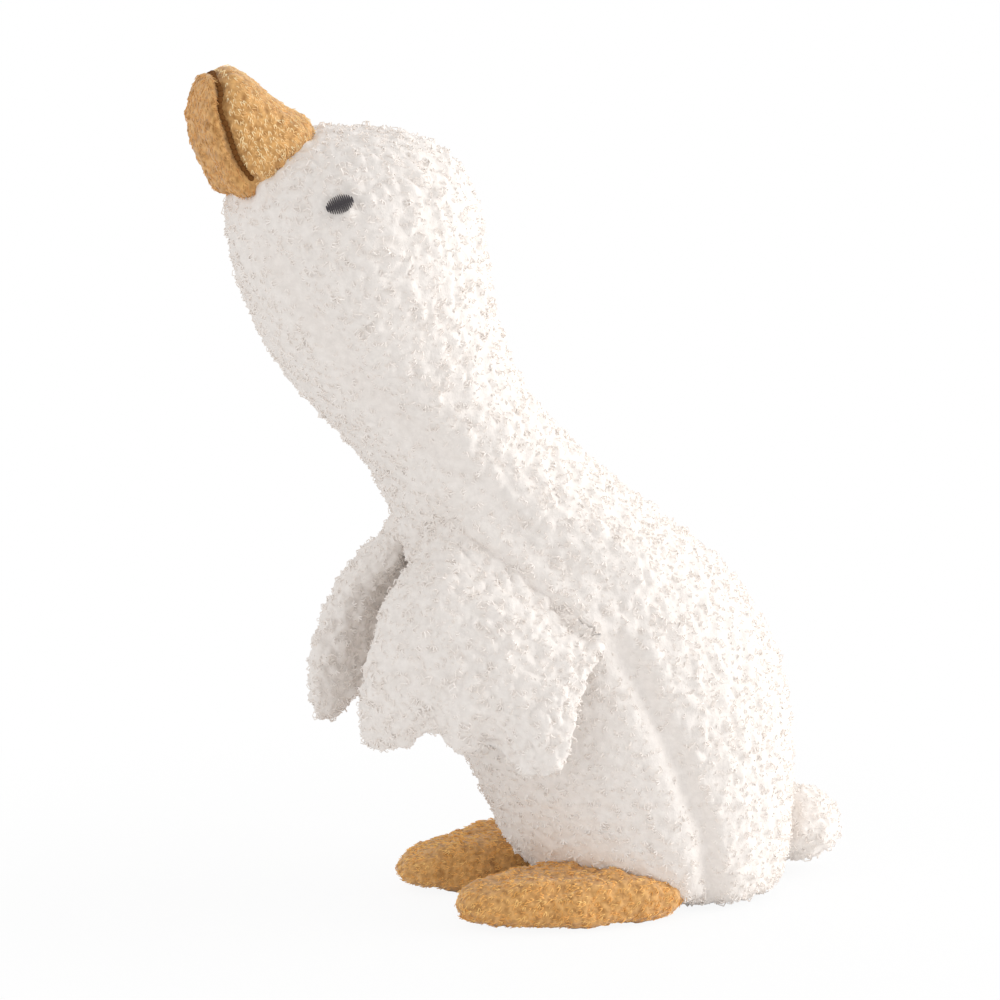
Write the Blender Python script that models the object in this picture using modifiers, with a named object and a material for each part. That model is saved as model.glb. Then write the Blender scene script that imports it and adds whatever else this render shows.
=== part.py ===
# Plush goose: a standing soft toy with a white curly pile skin, honey-coloured bill and
# feet, draped wings and a stub tail. Metres, +Z up. The goose faces -Y and its left is +X.
import math
from collections import namedtuple

import bmesh
import bpy
import numpy as np
from mathutils import Matrix, Vector

MM = 0.001
SEAM_GAP = 0.3 * MM  # the clearance that every piece keeps to the piece it is sewn to

# Body skin. The rises run from each level of the body to the next, from the ground up.
HIP_HEIGHT = 30 * MM
BELLY_RISE = 25 * MM
WAIST_RISE = 30 * MM
CHEST_RISE = 27 * MM
SHOULDER_RISE = 28 * MM
NECK_RISE = 13 * MM
THROAT_RISE = 23 * MM
CHEEK_RISE = 24 * MM
BROW_RISE = 22 * MM
CROWN_RISE = 37 * MM
BELLY_HEIGHT = HIP_HEIGHT + BELLY_RISE
WAIST_HEIGHT = BELLY_HEIGHT + WAIST_RISE
CHEST_HEIGHT = WAIST_HEIGHT + CHEST_RISE
SHOULDER_HEIGHT = CHEST_HEIGHT + SHOULDER_RISE
NECK_HEIGHT = SHOULDER_HEIGHT + NECK_RISE
THROAT_HEIGHT = NECK_HEIGHT + THROAT_RISE
CHEEK_HEIGHT = THROAT_HEIGHT + CHEEK_RISE
BROW_HEIGHT = CHEEK_HEIGHT + BROW_RISE
CROWN_HEIGHT = BROW_HEIGHT + CROWN_RISE

# A section is a level ellipse: its height, the Y of its centre, its half depth along Y, its
# half width along X, and the gusset angle in degrees, which runs from the front centre line
# to the seam on either side.
Section = namedtuple("Section", "height centre half_depth half_width gusset")
HIP = Section(HIP_HEIGHT, 45.5 * MM, 53.0 * MM, 50.5 * MM, 91)
BELLY = Section(BELLY_HEIGHT, 38.5 * MM, 60.0 * MM, 53.0 * MM, 87)
WAIST = Section(WAIST_HEIGHT, 32.0 * MM, 59.5 * MM, 52.5 * MM, 79)
CHEST = Section(CHEST_HEIGHT, 20.8 * MM, 54.0 * MM, 45.5 * MM, 72)
SHOULDER = Section(SHOULDER_HEIGHT, -4.5 * MM, 39.5 * MM, 33.0 * MM, 66)
NECK = Section(NECK_HEIGHT, -17.5 * MM, 38.5 * MM, 31.0 * MM, 62)
THROAT = Section(THROAT_HEIGHT, -40.3 * MM, 39.2 * MM, 33.0 * MM, 57)
CHEEK = Section(CHEEK_HEIGHT, -50.0 * MM, 42.0 * MM, 38.0 * MM, 46)
BROW = Section(BROW_HEIGHT, -54.8 * MM, 43.3 * MM, 40.0 * MM, 30)
BODY_SECTIONS = (HIP, BELLY, WAIST, CHEST, SHOULDER, NECK, THROAT, CHEEK, BROW)
CROWN_CENTRE = -57.5 * MM
CROWN_FULLNESS = 2.6  # exponent of the dome: 2 is an ellipse, more is squarer
BASE_CENTRE = 60 * MM
BASE_HALF_DEPTH = 30 * MM
BASE_HALF_WIDTH = 41 * MM
BASE_FULLNESS = 1.9
BASE_INNER_SHARE = 0.8  # size of the ring that keeps the underside flat
SEAM_DEPTH = 1.8 * MM
SEAM_SPREAD = 4.0  # degrees from a seam to the cage column on either side of it
GUSSET_COLUMNS = 5  # cage columns from the front centre line to a seam
SIDE_COLUMNS = 7  # cage columns from a seam to the back centre line
BASE_RINGS = 4
BODY_RINGS = 11
CROWN_RINGS = 5

# Bill. Its frame starts on the mouth line at the face: one axis runs across, one along the
# mouth towards the tip, and one up through the upper bill. A slice is one outline of the
# bill, at its rise above the mouth line.
MOUTH_PITCH = 69.0  # degrees above level
MOUTH_OVER_BROW = 17.5 * MM
MOUTH_INSET = 4.5 * MM  # how far inside the face the mouth line starts
MOUTH_DROOP = 3.2 * MM  # how far the mouth line sags below its ends
MOUTH_LOW_POINT = 15 * MM
BILL_ROOT = 12 * MM  # how far the outlines reach back into the head
BILL_SQUARENESS = 0.8
BILL_COLUMNS = 20
BillSlice = namedtuple("BillSlice", "rise reach half_width")
BILL_SLICES = (
    BillSlice(-7.0 * MM, 25.5 * MM, 8.0 * MM),
    BillSlice(-6.0 * MM, 35 * MM, 13.0 * MM),
    BillSlice(-3.6 * MM, 40.5 * MM, 16.8 * MM),
    BillSlice(0.0 * MM, 36.5 * MM, 14.2 * MM),
    BillSlice(2.7 * MM, 39 * MM, 17.3 * MM),
    BillSlice(8.5 * MM, 36 * MM, 17.8 * MM),
    BillSlice(14.0 * MM, 31.5 * MM, 17.3 * MM),
    BillSlice(18.5 * MM, 26 * MM, 16.5 * MM),
    BillSlice(23.0 * MM, 20 * MM, 15.2 * MM),
    BillSlice(27.0 * MM, 15 * MM, 13.4 * MM),
    BillSlice(30.5 * MM, 9.5 * MM, 10.5 * MM),
    BillSlice(32.5 * MM, 4.0 * MM, 6.5 * MM),
)

# The stitched line of the mouth: one thread that lies in the seam, cheek to cheek.
THREAD_RADIUS = 0.8 * MM
THREAD_SLICE = BillSlice(0.0 * MM, 38.2 * MM, 16.0 * MM)
THREAD_PAST_SIDE = 55  # degrees that the thread runs back past the bill's sides
THREAD_SEGMENTS = 24

# Eyes: flat embroidered ovals, placed on the head by height and by angle from the front.
EYE_OVER_BROW = 13.5 * MM
EYE_ANGLE = 65
EYE_HALF_LENGTH = 4.4 * MM
EYE_HALF_HEIGHT = 2.9 * MM
EYE_RISE = 1.3 * MM
EYE_SLANT = 20

# Wings: padded flaps sewn along the shoulder, with three rounded feathers at the hem. A
# root point is a rise over the shoulder and an angle from the front.
WING_ROOT = ((-3 * MM, 15), (5 * MM, 58), (-24 * MM, 100))
WING_ROOT_INSET = 7 * MM
HEM_FRONT_DROP = Vector((5.5 * MM, -36.0 * MM, -83.0 * MM))
HEM_REAR_DROP = Vector((23.5 * MM, -32.0 * MM, -71.5 * MM))
WING_HALF_THICKNESS = 6.2 * MM
WING_BOW_FRONT = 9 * MM  # how far the flap stands out from a straight one
WING_BOW_REAR = 8 * MM
WING_BOW_SAG = 1.6  # 1 is fullest halfway down the wing, more is lower
WING_EDGE_FULLNESS = 5.0
FEATHER_COLUMNS = (5, 3, 4)  # cage columns of each feather, front to rear
FEATHER_NOTCH = 0.14  # share of the wing's length
WING_ROWS = 7

# Feet: flat stuffed pads that reach forward from under the body.
FOOT_GAP = 18 * MM
FOOT_HALF_WIDTH = 20.5 * MM
FOOT_HALF_LENGTH = 43 * MM
FOOT_CENTRE = 9.5 * MM
FOOT_TURN = 8  # degrees that the toes point in
TOE_THICKNESS = 16 * MM
INSTEP_THICKNESS = 17 * MM
HEEL_NARROWING = 0.02
FOOT_COLUMNS = 16
FootSlice = namedtuple("FootSlice", "height_share outline_share")
FOOT_SLICES = (
    FootSlice(0.0, 0.45),
    FootSlice(0.0, 0.86),
    FootSlice(0.16, 1.0),
    FootSlice(0.55, 1.02),
    FootSlice(0.9, 0.9),
    FootSlice(1.04, 0.6),
    FootSlice(1.05, 0.25),
)

# Tail: a stuffed stub on the back centre line.
TAIL_HEIGHT = 16.5 * MM
TAIL_LENGTH = 23 * MM
TAIL_ROOT = 8 * MM
TAIL_HALF_WIDTH = 17 * MM
TAIL_HALF_HEIGHT = 13.5 * MM
BALL_SEGMENTS = 16
BALL_RINGS = 10

WHITE_PILE = ("white_pile", (0.93, 0.90, 0.87), 0.95)
HONEY_PILE = ("honey_pile", (0.62, 0.37, 0.13), 0.9)
BROWN_THREAD = ("brown_thread", (0.22, 0.10, 0.03), 0.7)
GREY_THREAD = ("grey_thread", (0.07, 0.06, 0.065), 0.5)


def clear_scene():
    for obj in list(bpy.data.objects):
        bpy.data.objects.remove(obj)


def new_collection(name):
    made = bpy.data.collections.new(name)
    bpy.context.scene.collection.children.link(made)
    return made


def material(name, colour, roughness):
    made = bpy.data.materials.get(name)
    if made:
        return made
    made = bpy.data.materials.new(name)
    made.use_nodes = True
    shader = made.node_tree.nodes["Principled BSDF"]
    shader.inputs["Base Color"].default_value = (*colour, 1)
    shader.inputs["Roughness"].default_value = roughness
    shader.inputs["Metallic"].default_value = 0
    return made


def piece(name, mesh, finish, parent):
    """A named piece of the goose, with its material."""
    mesh.name = name
    mesh.shade_smooth()
    mesh.materials.clear()
    mesh.materials.append(material(*finish))
    obj = bpy.data.objects.new(name, mesh)
    GOOSE.objects.link(obj)
    obj.parent = parent
    return obj


def mesh_from(bm):
    """The mesh of a finished bmesh, with its faces pointing out."""
    bmesh.ops.recalc_face_normals(bm, faces=bm.faces)
    mesh = bpy.data.meshes.new("cage")
    bm.to_mesh(mesh)
    bm.free()
    return mesh


def rounded(obj):
    rounding = obj.modifiers.new("rounding", "SUBSURF")
    rounding.levels = 1
    rounding.render_levels = 1
    return obj


def cut_by(obj, *cutters):
    for tool in cutters:
        cut = obj.modifiers.new(tool.name, "BOOLEAN")
        cut.operation = "DIFFERENCE"
        cut.object = tool
    return obj


def evaluated_mesh(obj):
    """The mesh of obj with its modifiers, welded where ends or caps are loose."""
    bpy.context.view_layer.update()
    graph = bpy.context.evaluated_depsgraph_get()
    mesh = bpy.data.meshes.new_from_object(obj.evaluated_get(graph))
    bm = bmesh.new()
    bm.from_mesh(mesh)
    bmesh.ops.remove_doubles(bm, verts=bm.verts, dist=0.001 * MM)
    bm.to_mesh(mesh)
    bm.free()
    return mesh


def cutter(name, mesh, clearance, parent):
    """A cutter with the shape of a mesh, grown along its normals by the clearance."""
    bm = bmesh.new()
    bm.from_mesh(mesh)
    bm.normal_update()
    places = [vert.co + vert.normal * clearance for vert in bm.verts]
    for vert, place in zip(bm.verts, places):
        vert.co = place
    bm.to_mesh(mesh)
    bm.free()
    made = bpy.data.objects.new(name, mesh)
    CUTTERS.objects.link(made)
    made.parent = parent
    made.hide_render = True
    made.display_type = "WIRE"
    return made


def curve_through(knots, values, at):
    """A smooth curve through values given at rising knots, read at one place."""
    slopes = np.gradient(values, knots)
    i = min(max(int(np.searchsorted(knots, at)) - 1, 0), len(knots) - 2)
    span = knots[i + 1] - knots[i]
    t = min(max((at - knots[i]) / span, 0), 1)
    ends = values[i] * (2 * t**3 - 3 * t**2 + 1) + values[i + 1] * (3 * t**2 - 2 * t**3)
    return float(ends + span * (slopes[i] * (t**3 - 2 * t**2 + t) + slopes[i + 1] * (t**3 - t**2)))


def dome_share(run, fullness):
    """The size of a dome's section, from 1 at its rim to 0 at its pole, where run is 1."""
    return max(1 - min(max(run, 0), 1) ** fullness, 0) ** (1 / fullness)


def between(start, end, share):
    return start + (end - start) * share


def body_section(height):
    """The body's level section at a height, from the flat base to the crown."""
    heights = [section.height for section in BODY_SECTIONS]
    inner = min(max(height, HIP.height), BROW.height)
    centre, half_depth, half_width, gusset = (
        curve_through(heights, [section[k] for section in BODY_SECTIONS], inner)
        for k in range(1, len(HIP))
    )
    if height < HIP.height:
        share = dome_share((HIP.height - height) / HIP.height, BASE_FULLNESS)
        centre = between(BASE_CENTRE, centre, share)
        half_depth = between(BASE_HALF_DEPTH, half_depth, share)
        half_width = between(BASE_HALF_WIDTH, half_width, share)
    if height > BROW.height:
        run = (height - BROW.height) / (CROWN_HEIGHT - BROW.height)
        share = dome_share(run, CROWN_FULLNESS)
        centre = between(centre, CROWN_CENTRE, run)
        half_depth *= share
        half_width *= share
    return Section(height, centre, half_depth, half_width, gusset)


def body_point(height, angle, outward=0.0):
    """A point on the body by height and by angle in degrees from the front, round to +X."""
    section = body_section(height)
    turn = math.radians(angle)
    x = (section.half_width + outward) * math.sin(turn)
    y = section.centre - (section.half_depth + outward) * math.cos(turn)
    return Vector((x, y, height))


def body_outward(height, angle):
    """The direction that faces out of the body at a point on it."""
    step = 1 * MM
    round_body = body_point(height, angle + 1) - body_point(height, angle - 1)
    up_body = body_point(height + step, angle) - body_point(height - step, angle)
    return round_body.cross(up_body).normalized()


def column_angles(gusset):
    """Angles of the cage columns on the left half, with one on the seam."""
    inner = [(gusset - SEAM_SPREAD) * k / (GUSSET_COLUMNS - 1) for k in range(GUSSET_COLUMNS)]
    outer = [between(gusset + SEAM_SPREAD, 180, k / SIDE_COLUMNS) for k in range(SIDE_COLUMNS + 1)]
    return [*inner, gusset, *outer]


def body_ring_heights():
    """Heights of the cage rings, close together where the ends curve in."""
    quarter = math.pi / 2
    base = [HIP.height * (1 - math.cos(quarter * k / BASE_RINGS)) for k in range(BASE_RINGS)]
    middle = np.linspace(HIP.height, BROW.height, BODY_RINGS)
    dome = CROWN_HEIGHT - BROW.height
    crown = [BROW.height + dome * math.sin(quarter * k / CROWN_RINGS) for k in range(1, CROWN_RINGS)]
    return [float(height) for height in (*base, *middle, *crown)]


def body_ring(bm, height, shrink=1.0):
    """One cage ring of the body, drawn in along its two seams."""
    section = body_section(height)
    middle = Vector((0, section.centre, height))
    has_seam = 0 < height <= BROW.height
    side_step = math.radians((180 - section.gusset - SEAM_SPREAD) / SIDE_COLUMNS)
    grow = 4 / (3 + math.cos(side_step))  # what the rounding takes off a ring of these steps
    left = []
    for k, angle in enumerate(column_angles(section.gusset)):
        inward = SEAM_DEPTH if has_seam and k == GUSSET_COLUMNS else 0.0
        point = body_point(height, angle, -inward)
        left.append(middle + (point - middle) * shrink * grow)
    right = [Vector((-point.x, point.y, point.z)) for point in reversed(left[1:-1])]
    return [bm.verts.new(point) for point in (*left, *right)]


def skin(bm, rings):
    """Faces between each ring and the next."""
    for lower, upper in zip(rings, rings[1:]):
        for k in range(len(lower)):
            after = (k + 1) % len(lower)
            bm.faces.new((lower[k], lower[after], upper[after], upper[k]))


def fan(bm, ring, pole_height=None):
    """Closes a ring with triangles to a pole at its middle."""
    pole = sum((vert.co for vert in ring), Vector()) / len(ring)
    if pole_height is not None:
        pole.z = pole_height
    tip = bm.verts.new(pole)
    for k, vert in enumerate(ring):
        bm.faces.new((vert, ring[(k + 1) % len(ring)], tip))


def make_body(parent):
    """Torso, neck and head: one sewn skin of a gusset and two sides, stuffed firm."""
    bm = bmesh.new()
    rings = [body_ring(bm, 0.0, BASE_INNER_SHARE)]
    rings += [body_ring(bm, height) for height in body_ring_heights()]
    skin(bm, rings)
    fan(bm, rings[0])
    fan(bm, rings[-1], CROWN_HEIGHT)
    return rounded(piece("body", mesh_from(bm), WHITE_PILE, parent))


def bill_frame():
    """The bill's own axes: across, along the mouth, and up through the upper bill."""
    pitch = math.radians(MOUTH_PITCH)
    along = Vector((0, -math.cos(pitch), math.sin(pitch)))
    up = Vector((0, math.sin(pitch), math.cos(pitch)))
    frame = Matrix((Vector((1, 0, 0)), along, up)).transposed().to_4x4()
    frame.translation = body_point(BROW_HEIGHT + MOUTH_OVER_BROW, 0, -MOUTH_INSET)
    return frame


def bill_point(cut, turn):
    """A point on one outline of the bill, in the bill's frame, by its turn from the side."""
    side = math.copysign(abs(math.cos(turn)) ** BILL_SQUARENESS, math.cos(turn))
    end = math.copysign(abs(math.sin(turn)) ** BILL_SQUARENESS, math.sin(turn))
    along = (cut.reach - BILL_ROOT) / 2 + (cut.reach + BILL_ROOT) / 2 * end
    droop = MOUTH_DROOP * (1 - (1 - along / MOUTH_LOW_POINT) ** 2)
    return Vector((cut.half_width * side, along, cut.rise - droop))


def make_beak(parent, frame, *cutters):
    """The stuffed bill, drawn in along the mouth seam all the way round."""
    bm = bmesh.new()
    turns = [2 * math.pi * k / BILL_COLUMNS for k in range(BILL_COLUMNS)]
    rings = [[bm.verts.new(frame @ bill_point(cut, turn)) for turn in turns] for cut in BILL_SLICES]
    skin(bm, rings)
    fan(bm, rings[0])
    fan(bm, rings[-1])
    beak = rounded(piece("beak", mesh_from(bm), HONEY_PILE, parent))
    return cut_by(beak, *cutters)


def thread_mesh(frame):
    """A tube of thread that follows the mouth seam round the bill."""
    curve = bpy.data.curves.new("thread", "CURVE")
    curve.dimensions = "3D"
    curve.bevel_depth = THREAD_RADIUS
    curve.bevel_resolution = 1
    curve.use_fill_caps = True
    spline = curve.splines.new("POLY")
    spline.points.add(THREAD_SEGMENTS)
    start, end = math.radians(-THREAD_PAST_SIDE), math.radians(180 + THREAD_PAST_SIDE)
    for k, point in enumerate(spline.points):
        turn = between(start, end, k / THREAD_SEGMENTS)
        point.co = (*(frame @ bill_point(THREAD_SLICE, turn)), 1)
    guide = bpy.data.objects.new("thread_guide", curve)
    CUTTERS.objects.link(guide)
    mesh = evaluated_mesh(guide)
    bpy.data.objects.remove(guide)
    return mesh


def ball_mesh(placing):
    """A ball of radius 1, placed and stretched by a matrix."""
    bm = bmesh.new()
    bmesh.ops.create_uvsphere(
        bm, u_segments=BALL_SEGMENTS, v_segments=BALL_RINGS, radius=1, matrix=placing
    )
    return mesh_from(bm)


def make_eye(name, side, parent, body_cutter):
    """An oval of satin stitches that stands a little proud of the pile's backing."""
    height = BROW_HEIGHT + EYE_OVER_BROW
    outward = body_outward(height, side * EYE_ANGLE)
    level = Vector((0, 0, 1)).cross(outward).normalized()
    frame = Matrix((level, outward.cross(level), outward)).transposed().to_4x4()
    frame.translation = body_point(height, side * EYE_ANGLE)
    slant = Matrix.Rotation(math.radians(side * EYE_SLANT), 4, "Z")
    size = Matrix.Diagonal((EYE_HALF_LENGTH, EYE_HALF_HEIGHT, EYE_RISE, 1))
    eye = piece(name, ball_mesh(frame @ slant @ size), GREY_THREAD, parent)
    return cut_by(eye, body_cutter)


def wing_root(share):
    """A point of the wing's seam on the shoulder, inside the body by the root inset."""
    knots = np.linspace(0, 1, len(WING_ROOT))
    height = SHOULDER_HEIGHT + curve_through(knots, [point[0] for point in WING_ROOT], share)
    angle = curve_through(knots, [point[1] for point in WING_ROOT], share)
    return body_point(height, angle, -WING_ROOT_INSET)


def wing_flap(across, down):
    """A point of a straight flap from the shoulder to a straight hem."""
    hem = (wing_root(0) + HEM_FRONT_DROP).lerp(wing_root(1) + HEM_REAR_DROP, across)
    return wing_root(across).lerp(hem, down)


def wing_outward(across, down):
    """The direction out of the flap, evened over a tenth of it each way."""
    front, rear = max(across - 0.1, 0), min(across + 0.1, 1)
    upper, lower = max(down - 0.1, 0), min(down + 0.1, 1)
    rearward = wing_flap(rear, down) - wing_flap(front, down)
    downward = wing_flap(across, lower) - wing_flap(across, upper)
    return downward.cross(rearward).normalized()


def feather_share(across):
    """Where a point lies on its feather, from -1 at one notch to 1 at the next."""
    column = across * sum(FEATHER_COLUMNS)
    for columns in FEATHER_COLUMNS:
        if column <= columns:
            return 2 * column / columns - 1
        column -= columns
    return 1


def wing_point(across, down, face):
    """A point of the left wing: across from front to rear, down to the hem, and its face."""
    feather = feather_share(across)
    notch = FEATHER_NOTCH * (1 - math.sqrt(max(1 - feather**2, 0)))
    fat = dome_share(abs(2 * across - 1), WING_EDGE_FULLNESS)
    fat *= dome_share(abs(2 * down - 1), WING_EDGE_FULLNESS)
    bow = between(WING_BOW_FRONT, WING_BOW_REAR, across) * math.sin(math.pi * down**WING_BOW_SAG)
    along = wing_flap(across, down * (1 - notch))
    return along + wing_outward(across, down) * (bow + face * WING_HALF_THICKNESS * fat)


def make_wing(name, side, parent, body_cutter):
    """A padded flap of two panels, sewn together along its edge and to the shoulder."""
    columns = sum(FEATHER_COLUMNS)
    bm = bmesh.new()
    for face in (-1, 1):
        grid = bmesh.ops.create_grid(bm, x_segments=columns, y_segments=WING_ROWS, size=0.5)
        for vert in grid["verts"]:
            across, down = round(vert.co.x + 0.5, 5), round(vert.co.y + 0.5, 5)
            vert.co = wing_point(across, down, face)
            vert.co.x *= side
    bmesh.ops.remove_doubles(bm, verts=bm.verts, dist=0.05 * MM)
    wing = rounded(piece(name, mesh_from(bm), WHITE_PILE, parent))
    return cut_by(wing, body_cutter)


def foot_point(cut, turn, side):
    """A point on one outline of a foot, which is narrower at the heel."""
    back = math.sin(turn)
    half_width = FOOT_HALF_WIDTH * (1 - HEEL_NARROWING * (back + 1) / 2)
    across = half_width * cut.outline_share * math.cos(turn)
    along = FOOT_HALF_LENGTH * cut.outline_share * back
    thickness = between(TOE_THICKNESS, INSTEP_THICKNESS, (back * cut.outline_share + 1) / 2)
    sole = Matrix.Rotation(math.radians(-FOOT_TURN), 2) @ Vector((across, along))
    x = side * (FOOT_GAP / 2 + FOOT_HALF_WIDTH + sole.x)
    return Vector((x, FOOT_CENTRE + sole.y, thickness * cut.height_share))


def make_foot(name, side, parent, body_cutter):
    """A stuffed pad of two panels with a flat sole."""
    bm = bmesh.new()
    turns = [2 * math.pi * k / FOOT_COLUMNS for k in range(FOOT_COLUMNS)]
    rings = [[bm.verts.new(foot_point(cut, turn, side)) for turn in turns] for cut in FOOT_SLICES]
    skin(bm, rings)
    fan(bm, rings[0])
    fan(bm, rings[-1])
    foot = rounded(piece(name, mesh_from(bm), HONEY_PILE, parent))
    return cut_by(foot, body_cutter)


def make_tail(parent, body_cutter):
    """A stuffed stub, sewn on low at the back."""
    half_length = (TAIL_LENGTH + TAIL_ROOT) / 2
    middle = body_point(TAIL_HEIGHT, 180) + Vector((0, half_length - TAIL_ROOT, 0))
    size = Matrix.Diagonal((TAIL_HALF_WIDTH, half_length, TAIL_HALF_HEIGHT, 1))
    tail = piece("tail", ball_mesh(Matrix.Translation(middle) @ size), WHITE_PILE, parent)
    return cut_by(tail, body_cutter)


def centre_over_origin(stand):
    """Moves the stand so that the middle of the whole goose is over the origin."""
    bpy.context.view_layer.update()
    graph = bpy.context.evaluated_depsgraph_get()
    pieces = [obj.evaluated_get(graph).data for obj in GOOSE.objects if obj.type == "MESH"]
    places = [vert.co.y for mesh in pieces for vert in mesh.vertices]
    stand.location.y = -(min(places) + max(places)) / 2


clear_scene()
GOOSE = new_collection("plush_goose")
CUTTERS = new_collection("cutters")
stand = bpy.data.objects.new("stand", None)
GOOSE.objects.link(stand)

body = make_body(stand)
body_cutter = cutter("body_cutter", evaluated_mesh(body), SEAM_GAP, stand)
mouth = bill_frame()
thread_cutter = cutter("thread_cutter", thread_mesh(mouth), SEAM_GAP, stand)
make_beak(stand, mouth, body_cutter, thread_cutter)
cut_by(piece("mouth_stitching", thread_mesh(mouth), BROWN_THREAD, stand), body_cutter)
for word, side in (("left", 1), ("right", -1)):
    make_eye(f"{word}_eye", side, stand, body_cutter)
    make_wing(f"{word}_wing", side, stand, body_cutter)
    make_foot(f"{word}_foot", side, stand, body_cutter)
make_tail(stand, body_cutter)
centre_over_origin(stand)
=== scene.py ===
# Plush goose: a standing soft toy of white curly pile cloth, with a honey-coloured bill and
# feet, two padded wings and a stub tail. Metres, +Z up. The goose faces -Y, its left is +X.
import math

import bpy
import numpy as np
from mathutils import Matrix, Vector, noise
from mathutils.bvhtree import BVHTree
from mathutils.kdtree import KDTree


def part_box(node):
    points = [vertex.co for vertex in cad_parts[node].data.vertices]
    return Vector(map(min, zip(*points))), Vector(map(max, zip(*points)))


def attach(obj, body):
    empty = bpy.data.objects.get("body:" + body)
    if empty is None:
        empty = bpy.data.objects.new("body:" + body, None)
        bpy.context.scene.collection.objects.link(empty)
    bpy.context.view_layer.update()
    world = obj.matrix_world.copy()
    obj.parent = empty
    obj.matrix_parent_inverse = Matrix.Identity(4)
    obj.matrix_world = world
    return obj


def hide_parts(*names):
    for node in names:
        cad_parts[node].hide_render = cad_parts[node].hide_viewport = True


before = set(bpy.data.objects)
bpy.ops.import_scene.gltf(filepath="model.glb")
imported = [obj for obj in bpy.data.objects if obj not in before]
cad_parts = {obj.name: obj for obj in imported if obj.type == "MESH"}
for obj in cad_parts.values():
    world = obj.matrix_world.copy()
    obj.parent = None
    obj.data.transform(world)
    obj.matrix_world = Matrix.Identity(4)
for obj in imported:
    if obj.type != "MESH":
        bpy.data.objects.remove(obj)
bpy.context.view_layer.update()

# Body: torso, neck and head in one bag, sewn from two side panels and a front gusset of
# white curly pile cloth and stuffed firm. The side panels meet along the spine; the gusset
# tapers from a wide apron between the feet to a point under the bill.
MM = 0.001
PILE_DEPTH = 1.4 * MM  # how far the cloth lies under the tips of the pile
BODY_VOXEL = 4.0 * MM
BODY_SLACK = 0.5 * MM  # how much smaller the bag is cut than it swells
BODY_PRESSURE = 4.0
BODY_CAP = 2.5 * MM
BODY_LUMPS = ((5.5, 0.95), (3, 0.45))  # width and height of the large and the small lumps
GUSSET_SEAM = (  # (Y, Z) of the seam on the goose's left, from the hip to the bill
    (46, 5), (40.6, 30), (29.5, 55), (14.8, 85), (-1.7, 112), (-26.4, 140), (-41.4, 153),
    (-67.5, 176), (-85, 200), (-98.2, 222),
)
WING_SEAM = (  # the left wing's seam on the shoulder, front to rear
    (7, -39.7, 137), (15.1, -39.3, 143.3), (21.2, -32.2, 145), (28, -10, 132.8), (36.3, 19.9, 116),
)
WING_TOP = ((27, -30, 129), (36, -16, 118), (42, -7, 109), (45, 2, 100))  # below the shoulder
MARK_STEP = 2 * MM
SEAM_WIDTH = 4.4 * MM
SEAM_SINK = 3.6 * MM
COVERED_MIDDLE, COVERED_HALF = 117, 27  # the wing hides the seam so far round this height
SEAM_CALM, FRONT_CALM = 0.7, 0.45  # how much flatter the lumps are there
EYE_CALM = 4.5 * MM
SHOULDER_FILL, WING_TOP_FILL, BREAST_FILL = (10, 3.2), (7, 3.4), (10, 4.5)  # width, height
BREAST_HEIGHTS = range(104, 125, 5)
LID = Vector((0, 2.8 * MM, -2.3 * MM))  # from an eye to the fold behind and below it
LID_WIDTH, LID_HEIGHT = 2.0, 3.2
WHITE = (0.93, 0.875, 0.83)
TUFT_SMALLEST, TUFT_LARGEST = 0.7, 1.2
COMBED_SPIN = 1.1  # how far round combed tufts may turn


def only(piece):
    """Makes one piece the only one that is selected, and the active one."""
    bpy.ops.object.select_all(action="DESELECT")
    piece.select_set(True)
    bpy.context.view_layer.objects.active = piece


def finish_modifier(piece, kind, **settings):
    """Adds a modifier to a piece and applies it."""
    only(piece)
    tool = piece.modifiers.new(kind.lower(), kind)
    for key, value in settings.items():
        setattr(tool, key, value)
    bpy.ops.object.modifier_apply(modifier=tool.name)


def points_of(piece):
    places = np.empty(len(piece.data.vertices) * 3, np.float32)
    piece.data.vertices.foreach_get("co", places)
    return places.reshape(-1, 3)


def normals_of(piece):
    ways = np.empty(len(piece.data.vertices) * 3, np.float32)
    piece.data.vertices.foreach_get("normal", ways)
    return ways.reshape(-1, 3)


def put_points(piece, places):
    piece.data.vertices.foreach_set("co", np.ascontiguousarray(places, np.float32).ravel())
    piece.data.update()


def bag_from(node, name, voxel, shrink):
    """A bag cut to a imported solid: its copy, welded, remeshed as cloth and drawn in."""
    bag = bpy.data.objects.new(name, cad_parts[node].data.copy())
    bpy.context.scene.collection.objects.link(bag)
    only(bag)
    bpy.ops.object.mode_set(mode="EDIT")
    bpy.ops.mesh.select_all(action="SELECT")
    bpy.ops.mesh.remove_doubles(threshold=0.01 * MM)
    bpy.ops.object.mode_set(mode="OBJECT")
    bag.data.materials.clear()
    finish_modifier(bag, "REMESH", mode="VOXEL", voxel_size=voxel, use_smooth_shade=True)
    put_points(bag, points_of(bag) - normals_of(bag) * shrink)
    return bag


def stuff(bag, pressure, cap):
    """Blows a bag up as its filling does, and keeps each point within the cap."""
    before = points_of(bag)
    only(bag)
    cloth = bag.modifiers.new("filling", "CLOTH")
    cloth.settings.quality = 5
    cloth.settings.mass = 0.15
    cloth.settings.use_pressure = True
    cloth.settings.uniform_pressure_force = pressure
    cloth.settings.effector_weights.gravity = 0
    for step in range(1, 21):
        bpy.context.scene.frame_set(step)
    bpy.ops.object.modifier_apply(modifier=cloth.name)
    bpy.context.scene.frame_set(1)
    moved = points_of(bag) - before
    far = np.linalg.norm(moved, axis=1, keepdims=True)
    put_points(bag, before + moved * np.minimum(1, cap / np.maximum(far, 1e-9)))


def noise_field(places, size, seed):
    """Smooth noise of about -1 to 1 at each place, with lumps of one size."""
    shift = Vector((seed * 3.1, seed * 1.7, seed * 2.3))
    return np.array([noise.noise(Vector(place) / size + shift) for place in places.tolist()])


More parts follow.
